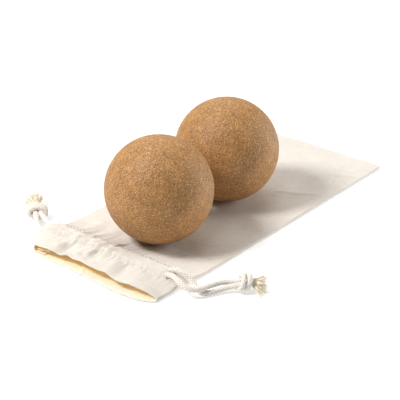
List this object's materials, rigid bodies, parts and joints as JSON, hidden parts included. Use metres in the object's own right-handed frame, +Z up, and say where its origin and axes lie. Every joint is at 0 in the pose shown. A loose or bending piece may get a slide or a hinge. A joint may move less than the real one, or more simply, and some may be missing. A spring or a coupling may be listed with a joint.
{
  "type": "massage ball set",
  "caption": "Smooth solid cork massage balls, with the flat cotton drawstring pouch that they are carried in, knotted cords at its mouth.",
  "frame": {"origin": "on the surface that the set lies on, under the middle of the flat pouch", "axes": "+X along the pouch from its mouth to its closed end, +Y towards the sewn side, +Z up"},
  "size_m": [0.2276, 0.1839, 0.0671],
  "materials": {
    "cork": "matte",
    "calico": "matte",
    "cotton_cord": "matte",
    "frayed_cotton": "matte",
    "thread": "matte"
  },
  "bodies": {
    "pouch": {"pouch_back_panel": "calico", "pouch_front_panel": "calico", "pouch_back_facing": "calico", "pouch_front_facing": "calico", "side_seam_allowance": "calico", "bottom_seam_allowance": "calico", "front_inner_stitch": "thread", "front_outer_stitch": "thread", "back_inner_stitch": "thread", "back_outer_stitch": "thread", "side_seam_stitch": "thread", "bottom_seam_stitch": "thread", "right_drawcord": "cotton_cord", "left_drawcord": "cotton_cord", "right_strand_upper": "cotton_cord", "right_strand_lower": "cotton_cord", "left_strand_upper": "cotton_cord", "left_strand_lower": "cotton_cord", "right_knot": "cotton_cord", "left_knot": "cotton_cord", "right_frayed_end": "frayed_cotton", "left_frayed_end": "frayed_cotton"},
    "ball_front": {"ball_front": "cork"},
    "ball_rear": {"ball_rear": "cork"},
    "front_header": {"pouch_front_header": "calico"}
  },
  "joints": [
    {"name": "ball_front_lift", "type": "slide", "parent": "pouch", "child": "ball_front", "axis": [0, 0, 1], "range_m": [0, 0.12]},
    {"name": "ball_rear_lift", "type": "slide", "parent": "pouch", "child": "ball_rear", "axis": [0, 0, 1], "range_m": [0, 0.12]},
    {"name": "mouth_opening", "type": "hinge", "parent": "pouch", "child": "front_header", "pos_m": [-0.0956, 0, 0.0061], "axis": [0, 1, 0], "range_deg": [0, 60]}
  ]
}
